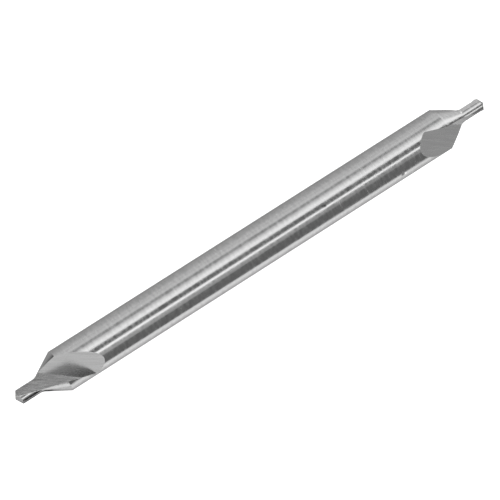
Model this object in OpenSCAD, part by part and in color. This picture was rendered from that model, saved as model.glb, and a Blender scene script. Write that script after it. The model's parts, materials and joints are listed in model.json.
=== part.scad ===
// Double-ended centre drill: one turned steel rod with a pilot, a 60 degree cone
// and a pair of ground flutes at each end. Millimetres, drill along X, origin at mid-length.

/* [Shank] */
// diameter of the plain round shank
shank_d = 8; // [6:0.1:12]
// length from point to point
overall_l = 100; // [70:1:140]

/* [Pilot and cone] */
// diameter of the short pilot at each end
pilot_d = 3.15; // [2.5:0.05:4]
// length of the pilot from its point to the foot of the cone
pilot_l = 4.75; // [3.5:0.05:6]
// full angle of the drill point
point_angle = 118; // [100:1:130]
// full angle of the countersink cone
cone_angle = 60; // [50:1:90]
// radius that runs the pilot into the cone
pilot_fillet_r = 1.6; // [0.4:0.1:3]
// relief behind each cutting edge, as the set-off of the centre that its land is turned about
land_relief = 0.22; // [0.05:0.01:0.4]
// turn of the edge that keeps its full radius from the pilot floor's facing
relief_turn = 25; // [0:1:50]

/* [Flutes at both ends] */
// half of the web left between the two flutes on the pilot
web_half = 0.5; // [0.3:0.05:0.7]
// angle of the rake face to the axis, seen along the flute
flute_skew = 16; // [8:1:22]
// corner radius the grinding wheel leaves at the foot of the rake face
wheel_corner_r = 0.15; // [0.1:0.05:0.8]

/* [Flutes at end A] */
// distance from the point at which the rake face passes over the axis
rake_cross_a = 0.9; // [0.5:0.1:3.5]
// turn of the rake face from square to the pilot floor
rake_turn_a = -2; // [-10:1:30]
// turn of the sloping floor from the pilot floor's facing
floor_turn_a = 32; // [20:1:60]
// slope of the floor that runs the flute out into the shank
floor_slope_a = 23; // [18:0.5:32]
// distance from the point at which the sloping floor leaves the axis
floor_start_a = 7.1; // [5:0.1:9]
// turn of these flutes about the axis, from the top toward the front
end_a_turn = -6; // [-180:1:180]

/* [Flutes at end B] */
// distance from the point at which the rake face passes over the axis
rake_cross_b = 3.8; // [1:0.1:4.5]
// turn of the rake face from square to the pilot floor
rake_turn_b = 26; // [5:1:40]
// turn of the sloping floor from the pilot floor's facing
floor_turn_b = 28; // [5:1:50]
// slope of the floor that runs the flute out into the shank
floor_slope_b = 22.5; // [18:0.5:32]
// distance from the point at which the sloping floor leaves the axis
floor_start_b = 6; // [4.5:0.1:9]
// turn of these flutes about the axis, from the top toward the front
end_b_turn = 45; // [-180:1:180]

/* [Hidden] */
$fn = 96;

shank_r = shank_d / 2;
pilot_r = pilot_d / 2;
half_l = overall_l / 2;

// lengths along the axis, counted from the point inward; the two set-off point cones cross at zero
apex_l = -land_relief / tan(point_angle / 2);
point_l = apex_l + pilot_r / tan(point_angle / 2);

// the turned form is wider than the shank beyond the cone, so that the relief spares the shank
form_r = shank_r + 2 * land_relief;
form_l = pilot_l + (form_r - pilot_r) / tan(cone_angle / 2);
form_end_l = overall_l + shank_d;

// fillet between pilot and cone: how far it reaches along each side, and where it starts and ends
fillet_reach = pilot_fillet_r * tan(cone_angle / 4);
fillet_start_l = pilot_l - fillet_reach;
fillet_end_l = pilot_l + fillet_reach * cos(cone_angle / 2);
fillet_end_r = pilot_r + fillet_reach * sin(cone_angle / 2);

// the wheel cuts reach well past the metal that they take off
cut_reach = half_l;

// unit direction across the axis at an angle from the top toward the front
function facing(a) = [0, -sin(a), cos(a)];

// normals of the three ground faces, each pointing into the open flute
pilot_floor_n = facing(0);
function rake_n(turn) = [sin(flute_skew), 0, 0] + cos(flute_skew) * facing(turn - 90);
function run_out_n(turn, slope) = [-sin(slope), 0, 0] + cos(slope) * facing(turn);

// offsets of the faces from the point along their normals
pilot_floor_d = web_half;
function rake_d(cross_l) = cross_l * sin(flute_skew);
function run_out_d(slope, start) = -start * sin(slope);

// corners of the turned form of one end: radius, then length from the point
form_corners = [
    [0, apex_l],
    [pilot_r, point_l],
    [pilot_r, fillet_start_l],
    [fillet_end_r, fillet_end_l],
    [form_r, form_l],
    [form_r, form_end_l],
    [0, form_end_l]
];

// solid turned about the drill's axis from an outline with the radius across and the axis upward
module turned() {
    rotate([90, 0, 90])
        rotate_extrude()
            children();
}

// point, pilot and cone of one end about their own centre, with the point at the origin
module turned_form() {
    turned()
        difference() {
            polygon(form_corners);
            translate([pilot_r + pilot_fillet_r, fillet_start_l])
                circle(r = pilot_fillet_r);
        }
}

// the same form with both lands relieved: each one is turned about a centre set off behind its edge
module relieved_form() {
    set_off = -land_relief * facing(relief_turn + 90);
    intersection() {
        translate(set_off)
            turned_form();
        translate(-set_off)
            turned_form();
    }
}

// moves what is drawn with the point at the origin to each end
module at_end_a() {
    rotate([end_a_turn, 0, 0])
        translate([-half_l, 0, 0])
            children();
}

module at_end_b() {
    rotate([end_b_turn, 0, 0])
        rotate([0, 0, 180])
            translate([-half_l, 0, 0])
                children();
}

// the rod with both ends turned and relieved, before any flute is ground
module turned_rod() {
    intersection() {
        turned()
            translate([0, -form_end_l])
                square([shank_r, 2 * form_end_l]);
        at_end_a()
            relieved_form();
        at_end_b()
            relieved_form();
    }
}

// section of the metal taken off where two ground faces meet, with the wheel's corner radius
module wheel_section(between) {
    opening = 180 - between;
    tangent_l = wheel_corner_r / tan(opening / 2);
    along_first = [0, 1];
    along_second = [sin(between), -cos(between)];
    polygon([
        along_first * tangent_l,
        along_first * cut_reach,
        (along_first + along_second) * cut_reach,
        along_second * cut_reach,
        along_second * tangent_l
    ]);
    translate([wheel_corner_r, tangent_l])
        circle(r = wheel_corner_r);
}

// straight wheel pass between two faces given by normals n1, n2 and offsets d1, d2
module wheel_pass(n1, d1, n2, d2) {
    c = n1 * n2;
    foot = ((d1 - c * d2) * n1 + (d2 - c * d1) * n2) / (1 - c * c);
    run = cross(n1, n2) / norm(cross(n1, n2));
    side = cross(run, n1);
    translate(foot)
        rotate([atan2(side[2], run[2]), -asin(n1[2]), atan2(n1[1], n1[0])])
            linear_extrude(height = 2 * cut_reach, center = true)
                wheel_section(acos(c));
}

// one flute as the metal taken off: rake face, pilot floor and sloping run-out floor
module flute(cross_l, rake_turn, floor_turn, slope, start) {
    rake = rake_n(rake_turn);
    rake_off = rake_d(cross_l);
    intersection() {
        wheel_pass(rake, rake_off, pilot_floor_n, pilot_floor_d);
        wheel_pass(rake, rake_off, run_out_n(floor_turn, slope), run_out_d(slope, start));
    }
}

// both flutes of one end, opposite each other, with the point at the origin
module flute_pair(cross_l, rake_turn, floor_turn, slope, start) {
    flute(cross_l, rake_turn, floor_turn, slope, start);
    rotate([180, 0, 0])
        flute(cross_l, rake_turn, floor_turn, slope, start);
}

// the whole drill
module centre_drill() {
    color("#b9bcc0")
        difference() {
            turned_rod();
            at_end_a()
                flute_pair(rake_cross_a, rake_turn_a, floor_turn_a, floor_slope_a, floor_start_a);
            at_end_b()
                flute_pair(rake_cross_b, rake_turn_b, floor_turn_b, floor_slope_b, floor_start_b);
        }
}

centre_drill();
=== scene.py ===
"""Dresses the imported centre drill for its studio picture.

The drill is turned and ground here as on the bench, in millimetres, and then brought to metres. It has
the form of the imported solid, which it stands for, with finer steps on its round surfaces and the finish
of ground steel.
"""

import json
import logging
import math
from contextlib import contextmanager
from dataclasses import dataclass
from enum import Enum
from typing import Callable, Iterator

import bmesh
import bpy
from mathutils import Matrix, Vector


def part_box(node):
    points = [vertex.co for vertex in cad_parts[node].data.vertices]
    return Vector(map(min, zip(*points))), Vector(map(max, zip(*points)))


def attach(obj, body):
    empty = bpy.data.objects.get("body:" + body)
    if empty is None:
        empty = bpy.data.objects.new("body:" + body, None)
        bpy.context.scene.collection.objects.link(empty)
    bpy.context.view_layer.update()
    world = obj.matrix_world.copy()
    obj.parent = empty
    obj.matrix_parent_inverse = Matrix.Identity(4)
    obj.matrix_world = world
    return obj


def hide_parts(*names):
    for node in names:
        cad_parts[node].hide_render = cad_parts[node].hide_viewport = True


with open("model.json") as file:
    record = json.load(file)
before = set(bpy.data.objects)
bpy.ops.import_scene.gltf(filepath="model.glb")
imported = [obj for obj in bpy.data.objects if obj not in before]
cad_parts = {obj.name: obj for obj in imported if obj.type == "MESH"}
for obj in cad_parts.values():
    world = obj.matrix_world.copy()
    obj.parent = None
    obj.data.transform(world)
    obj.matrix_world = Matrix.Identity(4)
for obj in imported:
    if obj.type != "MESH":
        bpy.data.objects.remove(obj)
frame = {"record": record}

LOG = logging.getLogger("centre_drill")
NODE = "centre_drill"
BODY = "root"
SHANK_MOUNT = "shank"
MM = 0.001
IMAGE_PX = 500
X_AXIS = Vector((1.0, 0.0, 0.0))
NOISE_RANGE = (0.25, 0.75)

Span = tuple[float, float]
Levels = tuple[float, float]
Level = float | bpy.types.NodeSocket
MeshItem = bmesh.types.BMEdge | bmesh.types.BMFace


class End(Enum):
    """The two working ends: A lies toward -X and B toward +X."""

    A = -1
    B = 1


class Side(Enum):
    """The two flutes of an end, named by their turn about the axis in degrees."""

    NEAR = 0
    FAR = 180


class Element(Enum):
    """The kinds of mesh element that are picked by place in edit mode."""

    EDGE = "edges"
    FACE = "faces"


class Cut(Enum):
    """What a second solid does to the one that stays."""

    TAKE_OFF = "DIFFERENCE"
    TRIM_TO = "INTERSECT"


class Arithmetic(Enum):
    """The steps of arithmetic that the node sheets use."""

    PRODUCT = "MULTIPLY"
    PRODUCT_PLUS = "MULTIPLY_ADD"
    GREATER = "MAXIMUM"


def turn_x(degrees: float) -> Matrix:
    """Returns a turn about the drill's axis."""
    return Matrix.Rotation(math.radians(degrees), 4, "X")


def facing(degrees: float) -> Vector:
    """Returns the direction across the axis at an angle from the top toward the front."""
    angle = math.radians(degrees)
    return Vector((0.0, -math.sin(angle), math.cos(angle)))


def opaque_grey(level: float) -> tuple[float, float, float, float]:
    """Returns a grey as a colour."""
    return (level, level, level, 1.0)


def make_active(piece: bpy.types.Object) -> None:
    """Selects one piece alone and makes it the active one.

    Args:
        piece: The piece to work on.
    """
    bpy.ops.object.select_all(action="DESELECT")
    piece.select_set(True)
    bpy.context.view_layer.objects.active = piece


@contextmanager
def edit_mode(piece: bpy.types.Object, element: Element) -> Iterator[None]:
    """Opens one piece for editing, with nothing else selected.

    Args:
        piece: The mesh to edit.
        element: The kind of element that the edit picks.
    """
    make_active(piece)
    bpy.ops.object.mode_set(mode="EDIT")
    bpy.ops.mesh.select_mode(type=element.name)
    try:
        yield
    finally:
        bpy.ops.object.mode_set(mode="OBJECT")


def pick(piece: bpy.types.Object, element: Element, wanted: Callable[[MeshItem], bool]) -> None:
    """Selects the elements of a piece in edit mode that pass a test of place.

    Args:
        piece: The mesh that is open for editing.
        element: The kind of element to pick.
        wanted: The test that a picked element passes.
    """
    bpy.ops.mesh.select_all(action="DESELECT")
    mesh = bmesh.from_edit_mesh(piece.data)
    for item in getattr(mesh, element.value):
        if wanted(item):
            item.select_set(True)
    mesh.select_flush_mode()
    bmesh.update_edit_mesh(piece.data)


def combine(piece: bpy.types.Object, other: bpy.types.Object, cut: Cut) -> None:
    """Cuts or trims one solid by another and removes the other.

    Args:
        piece: The solid that stays.
        other: The solid that is used up.
        cut: What the other solid does.
    """
    modifier = piece.modifiers.new("grind", "BOOLEAN")
    modifier.operation = cut.value
    modifier.solver = "EXACT"
    modifier.material_mode = "TRANSFER"
    modifier.object = other
    make_active(piece)
    bpy.ops.object.modifier_apply(modifier=modifier.name)
    bpy.data.objects.remove(other)


def place(piece: bpy.types.Object, matrix: Matrix) -> None:
    """Moves a piece and puts the move into its mesh, so that its object stays at the origin.

    Args:
        piece: The piece to move.
        matrix: The move.
    """
    make_active(piece)
    piece.matrix_world = matrix
    bpy.ops.object.transform_apply(location=True, rotation=True, scale=True)


@dataclass(frozen=True)
class EndSizes:
    """What differs between the two ends, in degrees and millimetres."""

    rake_cross: float
    rake_turn: float
    floor_turn: float
    floor_slope: float
    floor_start: float
    turn: float


@dataclass(frozen=True)
class DrillSizes:
    """The drill's driving sizes, in millimetres and degrees."""

    shank_r: float
    half_l: float
    pilot_r: float = 1.575
    pilot_l: float = 4.75
    point_angle: float = 118.0
    cone_angle: float = 60.0
    pilot_fillet_r: float = 1.6
    land_relief: float = 0.22
    relief_turn: float = 25.0
    web_half: float = 0.5
    flute_skew: float = 16.0
    wheel_corner_r: float = 0.15
    end_a: EndSizes = EndSizes(
        rake_cross=0.9, rake_turn=-2.0, floor_turn=32.0, floor_slope=23.0, floor_start=7.1, turn=-6.0)
    end_b: EndSizes = EndSizes(
        rake_cross=3.8, rake_turn=26.0, floor_turn=28.0, floor_slope=22.5, floor_start=6.0, turn=45.0)

    @classmethod
    def from_frame(cls) -> "DrillSizes":
        """Takes the shank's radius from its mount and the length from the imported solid.

        Returns:
            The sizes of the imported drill.
        """
        mount = next(m for m in frame["record"]["mounts"] if m["name"] == SHANK_MOUNT)
        low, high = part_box(NODE)
        return cls(shank_r=mount["dims"]["r_mm"], half_l=(high.x - low.x) / 2 / MM)

    @property
    def floor_z(self) -> float:
        """Height of the floor under the lying drill, in metres."""
        return -self.shank_r * MM

    def end_matrix(self, end: End) -> Matrix:
        """Places what is drawn with the point at the origin and the rod along +X at one end.

        Args:
            end: The end to place it at.

        Returns:
            The move to that end.
        """
        to_point = Matrix.Translation((-self.half_l, 0.0, 0.0))
        if end is End.A:
            return turn_x(self.end_a.turn) @ to_point
        return turn_x(self.end_b.turn) @ Matrix.Rotation(math.pi, 4, "Z") @ to_point

    def of(self, end: End) -> EndSizes:
        """Returns the sizes of one end."""
        return self.end_a if end is End.A else self.end_b


@dataclass(frozen=True)
class TurnedRod:
    """The rod with both ends turned and relieved, before any flute is ground.

    Its blanks reach past the drill by a spare length, which the turning takes off. A face is the left end
    of a blank where its normal's X lies below end_face_x.
    """

    sizes: DrillSizes
    segments: int = 192
    fillet_steps: int = 12
    apex_r: float = 0.01
    spare_l: float = 25.0
    end_face_x: float = -0.99

    def cylinder(self, radius: float, start: float, end: float) -> bpy.types.Object:
        """Adds a plain cylinder along the axis.

        Args:
            radius: Its radius.
            start: Where it starts along X.
            end: Where it ends along X.

        Returns:
            The cylinder.
        """
        bpy.ops.object.select_all(action="DESELECT")
        bpy.ops.mesh.primitive_cylinder_add(
            vertices=self.segments, radius=radius, depth=end - start, end_fill_type="NGON",
            location=((start + end) / 2, 0.0, 0.0), rotation=(0.0, math.pi / 2, 0.0))
        solid = bpy.context.active_object
        bpy.ops.object.transform_apply(location=True, rotation=True, scale=False)
        return solid

    def rings(self) -> list[tuple[float, float]]:
        """Lists the turned outline from the cone to the point.

        Returns:
            Pairs of radius and length from the point.
        """
        s = self.sizes
        half_angle = math.radians(s.cone_angle / 2)
        centre_l = s.pilot_l - s.pilot_fillet_r * math.tan(half_angle / 2)
        centre_r = s.pilot_r + s.pilot_fillet_r
        fillet = []
        for step in range(self.fillet_steps + 1):
            angle = half_angle * (1 - step / self.fillet_steps)
            radius = centre_r - s.pilot_fillet_r * math.cos(angle)
            fillet.append((radius, centre_l + s.pilot_fillet_r * math.sin(angle)))
        slope = math.tan(math.radians(s.point_angle / 2))
        point = [(radius, (radius - s.land_relief) / slope) for radius in (s.pilot_r, self.apex_r)]
        return fillet + point

    def form(self, end: End, side: Side) -> bpy.types.Object:
        """Turns the outline of one end about a centre set off to one side, which relieves one land.

        Args:
            end: The end.
            side: The flute whose cutting edge leads the land.

        Returns:
            The turned form, which is wider than the shank beyond the cone.
        """
        s = self.sizes
        radius = s.shank_r + 2 * s.land_relief
        half_angle = math.radians(s.cone_angle / 2)
        length = s.pilot_l + (radius - s.pilot_r) / math.tan(half_angle)
        form = self.cylinder(radius, length, 2 * s.half_l + self.spare_l)
        with edit_mode(form, Element.FACE):
            pick(form, Element.FACE, lambda face: face.normal.x < self.end_face_x)
            for next_radius, next_length in self.rings():
                step = Vector((next_length - length, 0.0, 0.0))
                bpy.ops.mesh.extrude_region_move(TRANSFORM_OT_translate={"value": step})
                ratio = next_radius / radius
                centre = Vector((next_length, 0.0, 0.0))
                bpy.ops.transform.resize(value=(1.0, ratio, ratio), center_override=centre)
                radius, length = next_radius, next_length
            bpy.ops.mesh.select_all(action="SELECT")
            bpy.ops.mesh.normals_make_consistent(inside=False)
        set_off = Matrix.Translation(facing(s.relief_turn + 90.0) * -s.land_relief)
        place(form, s.end_matrix(end) @ turn_x(side.value) @ set_off)
        return form

    def build(self) -> bpy.types.Object:
        """Turns the rod.

        Returns:
            The rod in millimetres.
        """
        reach = self.sizes.half_l + self.spare_l
        rod = self.cylinder(self.sizes.shank_r, -reach, reach)
        for end in End:
            for side in Side:
                combine(rod, self.form(end, side), Cut.TRIM_TO)
        return rod


@dataclass(frozen=True)
class GroundFace:
    """A plane left by the grinding wheel, with its normal toward the open flute."""

    normal: Vector
    offset: float

    def holds(self, point: Vector, tolerance: float = 1e-3) -> bool:
        """Tells whether a point lies on the plane."""
        return abs(self.normal.dot(point) - self.offset) < tolerance


@dataclass(frozen=True)
class Flute:
    """One ground flute: rake face, pilot floor and the sloping floor that runs out into the shank.

    The wheel's marks on the sloping floor are turned by wheel_turn degrees from its crease.
    """

    sizes: DrillSizes
    end: End
    side: Side
    corner_steps: int = 10
    round_profile: float = 0.5
    cut_threshold: float = 1e-6
    wheel_turn: float = -21.0

    @property
    def rake(self) -> GroundFace:
        """The face that carries the cutting edge."""
        own = self.sizes.of(self.end)
        skew = math.radians(self.sizes.flute_skew)
        turn = math.radians(own.rake_turn)
        across = math.cos(skew)
        normal = Vector((math.sin(skew), across * math.cos(turn), across * math.sin(turn)))
        return GroundFace(normal, own.rake_cross * math.sin(skew))

    @property
    def pilot_floor(self) -> GroundFace:
        """The floor along the pilot, which leaves the web."""
        return GroundFace(facing(0.0), self.sizes.web_half)

    @property
    def run_out(self) -> GroundFace:
        """The sloping floor that runs out into the shank."""
        own = self.sizes.of(self.end)
        slope = math.radians(own.floor_slope)
        normal = facing(own.floor_turn) * math.cos(slope) - X_AXIS * math.sin(slope)
        return GroundFace(normal, -own.floor_start * math.sin(slope))

    @property
    def matrix(self) -> Matrix:
        """Places the flute, drawn with the point at the origin, at its end of the drill."""
        return self.sizes.end_matrix(self.end) @ turn_x(self.side.value)

    @property
    def wheel_path(self) -> Vector:
        """The direction of the wheel's marks on the sloping floor, in the drill's frame."""
        crease = self.rake.normal.cross(self.run_out.normal).normalized()
        turn = Matrix.Rotation(math.radians(self.wheel_turn), 3, self.run_out.normal)
        return (self.matrix.to_3x3() @ turn @ crease).normalized()

    def wheel_pass(self, first: GroundFace, second: GroundFace) -> bpy.types.Object:
        """Makes the metal taken off by one straight pass of the wheel between two faces.

        Args:
            first: One face of the pass.
            second: The other face.

        Returns:
            A block cut along both faces, with the wheel's corner radius between them.
        """
        bpy.ops.object.select_all(action="DESELECT")
        bpy.ops.mesh.primitive_cube_add(size=2 * self.sizes.half_l)
        block = bpy.context.active_object
        with edit_mode(block, Element.EDGE):
            for face in (first, second):
                bpy.ops.mesh.select_all(action="SELECT")
                bpy.ops.mesh.bisect(
                    plane_co=face.normal * face.offset, plane_no=face.normal,
                    use_fill=True, clear_inner=True, threshold=self.cut_threshold)
            pick(block, Element.EDGE, lambda edge: all(
                face.holds(vertex.co) for face in (first, second) for vertex in edge.verts))
            opening = math.pi - first.normal.angle(second.normal)
            bpy.ops.mesh.bevel(
                offset=self.sizes.wheel_corner_r / math.tan(opening / 2), offset_type="OFFSET",
                segments=self.corner_steps, profile=self.round_profile, affect="EDGES",
                clamp_overlap=False)
            bpy.ops.mesh.select_all(action="SELECT")
            bpy.ops.mesh.normals_make_consistent(inside=False)
        return block

    def grind(self, rod: bpy.types.Object, finish: bpy.types.Material) -> None:
        """Cuts the flute into the rod.

        Args:
            rod: The rod in millimetres.
            finish: The finish that the wheel leaves on the cut.
        """
        cut = self.wheel_pass(self.rake, self.pilot_floor)
        combine(cut, self.wheel_pass(self.rake, self.run_out), Cut.TRIM_TO)
        cut.data.materials.clear()
        cut.data.materials.append(finish)
        place(cut, self.matrix)
        combine(rod, cut, Cut.TAKE_OFF)


class NodeSheet:
    """A material's or world's node tree, with short calls to add and join nodes."""

    def __init__(self, tree: bpy.types.NodeTree) -> None:
        """Starts an empty tree."""
        self.tree = tree
        tree.nodes.clear()

    def add(self, kind: str, **values: object) -> bpy.types.Node:
        """Adds a node.

        Args:
            kind: The node's type name.
            values: Attributes to set on it.

        Returns:
            The new node.
        """
        node = self.tree.nodes.new(kind)
        for name, value in values.items():
            setattr(node, name, value)
        return node

    def join(self, source: bpy.types.NodeSocket, target: bpy.types.NodeSocket) -> None:
        """Links an output to an input."""
        self.tree.links.new(source, target)

    def feed(self, level: Level, target: bpy.types.NodeSocket) -> None:
        """Links an output to an input, or sets the input to a number.

        Args:
            level: The output or the number.
            target: The input.
        """
        if isinstance(level, bpy.types.NodeSocket):
            self.join(level, target)
        else:
            target.default_value = level

    def end_with(self, shader: bpy.types.NodeSocket, kind: str = "ShaderNodeOutputMaterial") -> None:
        """Adds the tree's output node and links a shader to it."""
        self.join(shader, self.add(kind).inputs["Surface"])

    def own_place(self) -> bpy.types.NodeSocket:
        """Returns the output that gives the place in the piece's own coordinates, in metres."""
        return self.add("ShaderNodeTexCoord").outputs["Object"]

    def streaks(self, size: Vector, rotation: tuple[float, float, float], detail: float) -> bpy.types.Node:
        """Adds a noise drawn out in the piece's own coordinates.

        Args:
            size: Length of a streak along each of its axes, in metres.
            rotation: Euler angles that lay the streak's axes on the piece.
            detail: Octaves of the noise.

        Returns:
            The noise node.
        """
        mapping = self.add("ShaderNodeMapping", vector_type="TEXTURE")
        mapping.inputs["Rotation"].default_value = rotation
        mapping.inputs["Scale"].default_value = size
        noise = self.add("ShaderNodeTexNoise")
        noise.inputs["Scale"].default_value = 1.0
        noise.inputs["Detail"].default_value = detail
        self.join(self.own_place(), mapping.inputs["Vector"])
        self.join(mapping.outputs["Vector"], noise.inputs["Vector"])
        return noise

    def ramp(self, value: bpy.types.NodeSocket, span: Span,
             levels: tuple[Level, Level]) -> bpy.types.NodeSocket:
        """Adds a node that runs from one level to another while a value runs through a span.

        Args:
            value: The output that gives the value.
            span: Where the value starts and ends.
            levels: The levels at the start and at the end, as numbers or as outputs.

        Returns:
            The output that gives the level.
        """
        node = self.add("ShaderNodeMapRange")
        self.join(value, node.inputs["Value"])
        for name, level in zip(("From Min", "From Max", "To Min", "To Max"), (*span, *levels)):
            self.feed(level, node.inputs[name])
        return node.outputs["Result"]

    def spread(self, noise: bpy.types.Node, levels: Levels) -> bpy.types.NodeSocket:
        """Spreads the usual range of a noise between two levels and returns the output."""
        return self.ramp(noise.outputs["Fac"], NOISE_RANGE, levels)

    def work_out(self, step: Arithmetic, *levels: Level) -> bpy.types.NodeSocket:
        """Adds a step of arithmetic.

        Args:
            step: What it does.
            levels: What it takes, as numbers or as outputs.

        Returns:
            The output that gives the result.
        """
        node = self.add("ShaderNodeMath", operation=step.value)
        for level, target in zip(levels, node.inputs):
            self.feed(level, target)
        return node.outputs["Value"]

    def product(self, first: Level, second: Level) -> bpy.types.NodeSocket:
        """Multiplies two levels and returns the output of the product."""
        return self.work_out(Arithmetic.PRODUCT, first, second)

    def away_from(self, place_m: Vector) -> bpy.types.NodeSocket:
        """Measures the distance from a place in the piece's own coordinates.

        Args:
            place_m: The place, in metres.

        Returns:
            The output that gives the distance.
        """
        node = self.add("ShaderNodeVectorMath", operation="DISTANCE")
        node.inputs[1].default_value = place_m
        self.join(self.own_place(), node.inputs[0])
        return node.outputs["Value"]


def new_material(name: str) -> tuple[bpy.types.Material, NodeSheet]:
    """Starts a material.

    Args:
        name: The material's name.

    Returns:
        The material and its empty node sheet.
    """
    material = bpy.data.materials.new(name)
    material.use_nodes = True
    return material, NodeSheet(material.node_tree)


@dataclass(frozen=True)
class NickAndGlint:
    """A small mark in a round surface, in millimetres and degrees about the axis.

    Its share multiplies the grey: it darkens below one, and above one it lightens the grey as a painted
    glint. The core is the part of its reach that takes the whole share.
    """

    along: float
    roll: float
    reach: float
    share: float
    core: float = 0.3

    def place_m(self, radius: float) -> Vector:
        """Returns where the nick lies on a round surface of a radius in millimetres, in metres."""
        return (X_AXIS * self.along + facing(self.roll) * radius) * MM


@dataclass(frozen=True)
class SteelFinish:
    """Ground steel: a grey metal with streaks left by the wheel."""

    name: str
    grey: Levels
    edge_tint: float
    roughness: Levels
    streak: Vector
    rotation: tuple[float, float, float]
    bump_height: float
    bump_strength: float
    detail: float = 4.0
    nicks_and_glints: tuple[tuple[Vector, NickAndGlint], ...] = ()

    def with_nicks_and_glints(self, sheet: NodeSheet, grey: bpy.types.NodeSocket) -> bpy.types.NodeSocket:
        """Changes a grey at the nicks and at the painted glint.

        Args:
            sheet: The material's node sheet.
            grey: The output that gives the plain grey.

        Returns:
            The output that gives the grey with the nicks and the painted glint in it.
        """
        for place_m, spot in self.nicks_and_glints:
            reach = spot.reach * MM
            share = sheet.ramp(sheet.away_from(place_m), (spot.core * reach, reach), (spot.share, 1.0))
            grey = sheet.product(grey, share)
        return grey

    def material(self) -> bpy.types.Material:
        """Makes the finish's material.

        Returns:
            The material.
        """
        material, sheet = new_material(self.name)
        steel = sheet.add("ShaderNodeBsdfPrincipled")
        steel.inputs["Metallic"].default_value = 1.0
        steel.inputs["Specular Tint"].default_value = opaque_grey(self.edge_tint)
        sheet.end_with(steel.outputs["BSDF"])
        streaks = sheet.streaks(self.streak, self.rotation, self.detail)
        grey = sheet.spread(streaks, self.grey)
        sheet.join(self.with_nicks_and_glints(sheet, grey), steel.inputs["Base Color"])
        sheet.join(sheet.spread(streaks, self.roughness), steel.inputs["Roughness"])
        bump = sheet.add("ShaderNodeBump")
        bump.inputs["Distance"].default_value = self.bump_height
        bump.inputs["Strength"].default_value = self.bump_strength
        sheet.join(streaks.outputs["Fac"], bump.inputs["Height"])
        sheet.join(bump.outputs["Normal"], steel.inputs["Normal"])
        return material


def shank_finish(sizes: DrillSizes) -> SteelFinish:
    """Describes the finish of the round surfaces, ground round the axis, with nicks and a painted glint.

    Args:
        sizes: The drill's sizes.

    Returns:
        A fine finish with streaks round the axis.
    """
    nicks_and_glints = (
        # A darker patch with a painted glint beside it; the second entry lightens the grey.
        NickAndGlint(along=29.7, roll=46.0, reach=0.5, share=0.35),
        NickAndGlint(along=30.25, roll=47.5, reach=0.3, share=1.6),
        # Two darker marks side by side.
        NickAndGlint(along=14.2, roll=-0.5, reach=0.34, share=0.25),
        NickAndGlint(along=13.8, roll=-1.5, reach=0.34, share=0.6),
    )
    return SteelFinish(
        name="shank_steel", grey=(0.345, 0.435), edge_tint=0.6, roughness=(0.1, 0.28),
        streak=Vector((0.0005, 0.0014, 0.0014)), rotation=(0.0, 0.0, 0.0),
        bump_height=0.000008, bump_strength=0.8,
        nicks_and_glints=tuple((spot.place_m(sizes.shank_r), spot) for spot in nicks_and_glints))


def flute_finish(flute: Flute) -> SteelFinish:
    """Describes the finish of one flute, with the wheel's streaks along its path.

    Args:
        flute: The flute that is ground.

    Returns:
        A finish with long, narrow streaks.
    """
    path = flute.wheel_path.to_track_quat("X", "Z").to_euler()
    return SteelFinish(
        name=f"flute_steel_{flute.end.name.lower()}_{flute.side.name.lower()}",
        grey=(0.365, 0.485), edge_tint=0.7, roughness=(0.21, 0.3),
        streak=Vector((0.006, 0.00025, 0.00025)), rotation=tuple(path),
        bump_height=0.000004, bump_strength=0.4)


@dataclass(frozen=True)
class CentreDrill:
    """The whole drill: a turned rod with a pair of flutes at each end."""

    sizes: DrillSizes
    smooth_angle: float = 20.0

    def build(self) -> bpy.types.Object:
        """Turns the rod, grinds the flutes and brings the drill to metres.

        Returns:
            The drill.
        """
        drill = TurnedRod(self.sizes).build()
        drill.name = "centre_drill_ground"
        drill.data.materials.clear()
        drill.data.materials.append(shank_finish(self.sizes).material())
        for end in End:
            for side in Side:
                flute = Flute(self.sizes, end, side)
                flute.grind(drill, flute_finish(flute).material())
        place(drill, Matrix.Scale(MM, 4))
        return drill

    def dress(self, drill: bpy.types.Object) -> None:
        """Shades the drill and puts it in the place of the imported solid.

        Args:
            drill: The drill in metres.
        """
        make_active(drill)
        bpy.ops.object.shade_smooth_by_angle(angle=math.radians(self.smooth_angle))
        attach(drill, BODY)
        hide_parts(NODE)


def add_soft_box(name: str, size: tuple[float, float], radiance: float, matrix: Matrix) -> None:
    """Adds a rectangular lamp.

    Args:
        name: The lamp's name.
        size: Its width and height, in metres.
        radiance: The level that a mirror shows of it.
        matrix: Its place and axes. It shines along its own -Z.
    """
    lamp = bpy.data.lights.new(name, "AREA")
    lamp.shape = "RECTANGLE"
    lamp.size, lamp.size_y = size
    lamp.energy = radiance * math.pi * lamp.size * lamp.size_y
    holder = bpy.data.objects.new(name, lamp)
    holder.matrix_world = matrix
    bpy.context.scene.collection.objects.link(holder)


@dataclass(frozen=True)
class StripLight:
    """A long soft box beside the drill, placed by its angles about the axis from the camera.

    Angles are degrees and grow toward the front of the floor. Lengths are metres.
    """

    name: str
    start: float
    end: float
    radiance: float
    distance: float = 0.5
    length: float = 1.44
    along: float = 0.0

    def build(self, camera_turn: float) -> None:
        """Adds the lamp.

        Args:
            camera_turn: The camera's own angle about the axis.
        """
        width = 2 * self.distance * math.tan(math.radians(self.end - self.start) / 2)
        out = facing(camera_turn + (self.start + self.end) / 2)
        axes = Matrix((X_AXIS, out.cross(X_AXIS), out)).transposed().to_4x4()
        to_place = Matrix.Translation(out * self.distance + X_AXIS * self.along)
        add_soft_box(self.name, (self.length, width), self.radiance, to_place @ axes)


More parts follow.
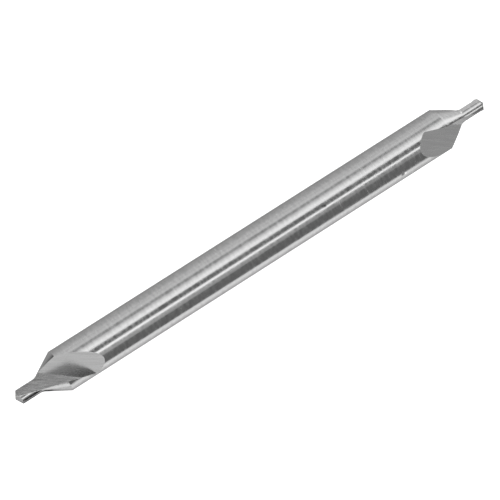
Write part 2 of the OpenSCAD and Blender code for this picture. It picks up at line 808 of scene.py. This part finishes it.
@dataclass(frozen=True)
class EndCard:
    """A soft box beyond one end of the drill, upright on the floor and square to the axis.

    It reaches from one distance in front of the axis to another, in metres.
    """

    name: str
    end: End
    start: float
    stop: float
    radiance: float
    distance: float = 0.6
    height: float = 0.36

    def build(self) -> None:
        """Adds the lamp."""
        out = X_AXIS * self.end.value
        up = facing(0.0)
        middle = facing(90.0) * (self.start + self.stop) / 2
        axes = Matrix((up.cross(out), up, out)).transposed().to_4x4()
        to_place = Matrix.Translation(out * self.distance + up * self.height / 2 + middle)
        add_soft_box(self.name, (self.stop - self.start, self.height), self.radiance, to_place @ axes)


@dataclass(frozen=True)
class PaintedFloorReflection:
    """The floor's painted reflection, a glow that only metal sees: brightest in front, dimmer behind and
    changed by the ends.

    A round painted shadow and a leaning painted dark strip in front of the left pilot darken it. Spans are
    metres along the drill, across it or away from the shade, and a share multiplies the level that it
    meets.
    """

    front: Span = (-0.02, -0.006)
    front_levels: Levels = (1.75, 1.0)
    under: Span = (-0.006, 0.006)
    back: Span = (0.006, 0.05)
    back_levels: Levels = (0.78, 1.02)
    right: Span = (0.046, 0.054)
    right_front_share: float = 0.42
    right_back: Span = (0.03, 0.06)
    right_back_share: float = 1.5
    left: Span = (-0.05, -0.042)
    left_back: Span = (0.004, 0.009)
    left_back_share: float = 0.15
    shade_at: Vector = Vector((-0.0487, -0.006, 0.0))
    shade: Span = (0.0033, 0.0047)
    strip_front: Span = (-0.018, -0.014)
    strip_lean: float = 0.13
    strip_left: Span = (-0.0515, -0.0495)
    strip_right: Span = (-0.0452, -0.0435)
    dark_share: float = 0.03

    def front_level(self, sheet: NodeSheet, along: bpy.types.NodeSocket,
                    across: bpy.types.NodeSocket) -> bpy.types.NodeSocket:
        """Adds the nodes of the level in front of the drill.

        Args:
            sheet: The floor's node sheet.
            along: The output that gives the place along the drill.
            across: The output that gives the place across it.

        Returns:
            The output that gives the level.
        """
        level = sheet.ramp(across, self.front, self.front_levels)
        right_share = sheet.ramp(along, self.right, (1.0, self.right_front_share))
        shade_share = sheet.ramp(sheet.away_from(self.shade_at), self.shade, (self.dark_share, 1.0))
        leaning = sheet.work_out(Arithmetic.PRODUCT_PLUS, across, self.strip_lean, along)
        strip_share = sheet.ramp(leaning, self.strip_right, (self.dark_share, 1.0))
        strip_share = sheet.ramp(leaning, self.strip_left, (1.0, strip_share))
        strip_share = sheet.ramp(across, self.strip_front, (strip_share, 1.0))
        for share in (right_share, shade_share, strip_share):
            level = sheet.product(level, share)
        return level

    def back_level(self, sheet: NodeSheet, along: bpy.types.NodeSocket,
                   across: bpy.types.NodeSocket) -> bpy.types.NodeSocket:
        """Adds the nodes of the level behind the drill.

        Args:
            sheet: The floor's node sheet.
            along: The output that gives the place along the drill.
            across: The output that gives the place across it.

        Returns:
            The output that gives the level.
        """
        level = sheet.ramp(across, self.back, self.back_levels)
        left_share = sheet.ramp(across, self.left_back, (1.0, self.left_back_share))
        right_share = sheet.ramp(across, self.right_back, (self.right_back_share, 1.0))
        level = sheet.product(level, sheet.ramp(along, self.left, (left_share, 1.0)))
        return sheet.product(level, sheet.ramp(along, self.right, (1.0, right_share)))

    def level(self, sheet: NodeSheet) -> bpy.types.NodeSocket:
        """Adds the level's nodes.

        Args:
            sheet: The floor's node sheet.

        Returns:
            The output that gives the level.
        """
        parts = sheet.add("ShaderNodeSeparateXYZ")
        sheet.join(sheet.own_place(), parts.inputs["Vector"])
        along, across = parts.outputs["X"], parts.outputs["Y"]
        front = self.front_level(sheet, along, across)
        back = self.back_level(sheet, along, across)
        return sheet.ramp(across, self.under, (front, back))


@dataclass(frozen=True)
class DarkFlag:
    """A small black card that stands on the floor before the left pilot and shows only in metal, as a
    painted dark reflection on the pilot's lower side.

    It spans metres along the drill. Its place across the drill and its top are metres from the axis.
    """

    along: Span = (-0.047, -0.0395)
    across: float = -0.02
    top: float = 0.006

    def material(self) -> bpy.types.Material:
        """Makes a black that gives off no light.

        Returns:
            The material.
        """
        material, sheet = new_material("black_card")
        black = sheet.add("ShaderNodeEmission")
        black.inputs["Strength"].default_value = 0.0
        sheet.end_with(black.outputs["Emission"])
        return material

    def build(self, floor_z: float) -> None:
        """Adds the card.

        Args:
            floor_z: Height of the floor.
        """
        start, end = self.along
        bpy.ops.object.select_all(action="DESELECT")
        bpy.ops.mesh.primitive_plane_add(size=1.0)
        card = bpy.context.active_object
        card.name = "dark_flag"
        card.rotation_euler = (math.pi / 2, 0.0, 0.0)
        card.scale = (end - start, self.top - floor_z, 1.0)
        card.location = ((start + end) / 2, self.across, (self.top + floor_z) / 2)
        # Hidden from camera, diffuse light and shadows, the card only paints a dark reflection.
        card.visible_camera = False
        card.visible_diffuse = False
        card.visible_shadow = False
        card.data.materials.append(self.material())


@dataclass(frozen=True)
class Studio:
    """The pale floor, soft light and camera round the drill, in metres and degrees.

    A front strip comes in two parts, with a length and a place along the drill for each part.
    """

    sizes: DrillSizes
    camera_turn: float = -7.0
    camera_tilt: float = 12.0
    camera_distance: float = 0.6
    clip_share: float = 0.1
    axis_rise: float = 32.46
    focal_px: float = 3397.0
    origin_px: tuple[float, float] = (253.2, 248.4)
    floor_size: float = 8.0
    floor_grey: float = 0.8
    camera_lift: float = 0.8
    world_grey: float = 0.28
    left_part: tuple[float, float] = (0.82, -0.31)
    right_part: tuple[float, float] = (0.62, 0.41)

    def floor(self) -> None:
        """Adds the pale floor on which the drill lies."""
        bpy.ops.object.select_all(action="DESELECT")
        bpy.ops.mesh.primitive_plane_add(size=self.floor_size, location=(0.0, 0.0, self.sizes.floor_z))
        floor = bpy.context.active_object
        floor.name = "floor"
        floor.data.materials.append(self.floor_material())

    def floor_material(self) -> bpy.types.Material:
        """Makes a floor that is white to the camera, keeps the shadow and shows a painted reflection in
        metal.

        Returns:
            The material.
        """
        material, sheet = new_material("pale_floor")
        rays = sheet.add("ShaderNodeLightPath")
        matt = sheet.add("ShaderNodeBsdfDiffuse")
        matt.inputs["Color"].default_value = opaque_grey(self.floor_grey)
        white = sheet.add("ShaderNodeEmission")
        lift = sheet.product(rays.outputs["Is Camera Ray"], self.camera_lift)
        sheet.join(lift, white.inputs["Strength"])
        seen = sheet.add("ShaderNodeAddShader")
        sheet.join(matt.outputs["BSDF"], seen.inputs[0])
        sheet.join(white.outputs["Emission"], seen.inputs[1])
        # Metal sees the floor only as this painted reflection, with its painted shadow, not as the lamps
        # light it.
        painted_reflection = sheet.add("ShaderNodeEmission")
        sheet.join(PaintedFloorReflection().level(sheet), painted_reflection.inputs["Strength"])
        in_metal = sheet.work_out(
            Arithmetic.GREATER, rays.outputs["Is Glossy Ray"], rays.outputs["Is Transmission Ray"])
        either = sheet.add("ShaderNodeMixShader")
        sheet.join(in_metal, either.inputs["Fac"])
        sheet.join(seen.outputs["Shader"], either.inputs[1])
        sheet.join(painted_reflection.outputs["Emission"], either.inputs[2])
        sheet.end_with(either.outputs["Shader"])
        return material

    def lamps(self) -> None:
        """Adds the soft boxes whose reflections band the shank and light the ends."""
        left_l, left_at = self.left_part
        right_l, right_at = self.right_part
        strips = [
            StripLight("low_back_box", -85.0, -70.0, 0.78),
            StripLight("high_back_box", -70.0, -56.0, 0.97),
            StripLight("back_gap", -56.0, -41.0, 0.34),
            StripLight("back_box_edge", -41.0, -33.0, 0.94),
            StripLight("back_box_middle", -33.0, -24.0, 1.4),
            StripLight("back_box", -24.0, -8.0, 1.8),
            StripLight("front_line", 14.5, 27.0, 2.2, length=left_l, along=left_at),
            StripLight("front_line_right", 16.0, 26.0, 2.2, length=right_l, along=right_at),
            StripLight("front_fill", 27.0, 48.0, 0.52, length=left_l, along=left_at),
            StripLight("front_fill_right", 26.0, 46.0, 0.3, length=right_l, along=right_at),
            StripLight("left_card", 48.0, 92.0, 0.8, length=0.6, along=-0.42),
        ]
        for strip in strips:
            strip.build(self.camera_turn)
        cards = [
            EndCard("right_back_card", End.B, -0.7, -0.22, 1.15),
            EndCard("right_box", End.B, -0.22, -0.08, 1.95),
            EndCard("right_front_card", End.B, 0.3, 0.7, 0.42),
        ]
        for card in cards:
            card.build()

    def room(self) -> None:
        """Adds the dim room round the lamps."""
        world = bpy.data.worlds.new("dim_room")
        world.use_nodes = True
        sheet = NodeSheet(world.node_tree)
        walls = sheet.add("ShaderNodeBackground")
        walls.inputs["Color"].default_value = opaque_grey(self.world_grey)
        sheet.end_with(walls.outputs["Background"], "ShaderNodeOutputWorld")
        bpy.context.scene.world = world

    def camera(self) -> None:
        """Adds the camera at the photograph's viewing angle."""
        tilt = math.radians(self.camera_tilt)
        back = facing(self.camera_turn) * math.cos(tilt) - X_AXIS * math.sin(tilt)
        along = (X_AXIS - X_AXIS.dot(back) * back).normalized()
        across = back.cross(along)
        rise = math.radians(self.axis_rise)
        right = along * math.cos(rise) - across * math.sin(rise)
        up = along * math.sin(rise) + across * math.cos(rise)
        per_px = self.camera_distance / self.focal_px
        centre_px = IMAGE_PX / 2
        aim = (right * (centre_px - self.origin_px[0]) - up * (centre_px - self.origin_px[1])) * per_px
        data = bpy.data.cameras.new("camera")
        data.lens = data.sensor_width * self.focal_px / IMAGE_PX
        data.clip_start = self.camera_distance * self.clip_share
        camera = bpy.data.objects.new("camera", data)
        axes = Matrix((right, up, back)).transposed().to_4x4()
        camera.matrix_world = Matrix.Translation(aim + back * self.camera_distance) @ axes
        bpy.context.scene.collection.objects.link(camera)
        bpy.context.scene.camera = camera

    def build(self) -> None:
        """Sets up the floor, lights, camera and plain view colours."""
        self.floor()
        DarkFlag().build(self.sizes.floor_z)
        self.lamps()
        self.room()
        self.camera()
        bpy.context.scene.view_settings.view_transform = "Standard"


def main() -> None:
    """Builds the drill, dresses it and sets up the studio."""
    logging.basicConfig(level=logging.INFO)
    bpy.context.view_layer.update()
    sizes = DrillSizes.from_frame()
    maker = CentreDrill(sizes)
    drill = maker.build()
    maker.dress(drill)
    LOG.info("%s: %d faces", drill.name, len(drill.data.polygons))
    Studio(sizes).build()
    LOG.info("studio set up")


if __name__ == "__main__":
    main()
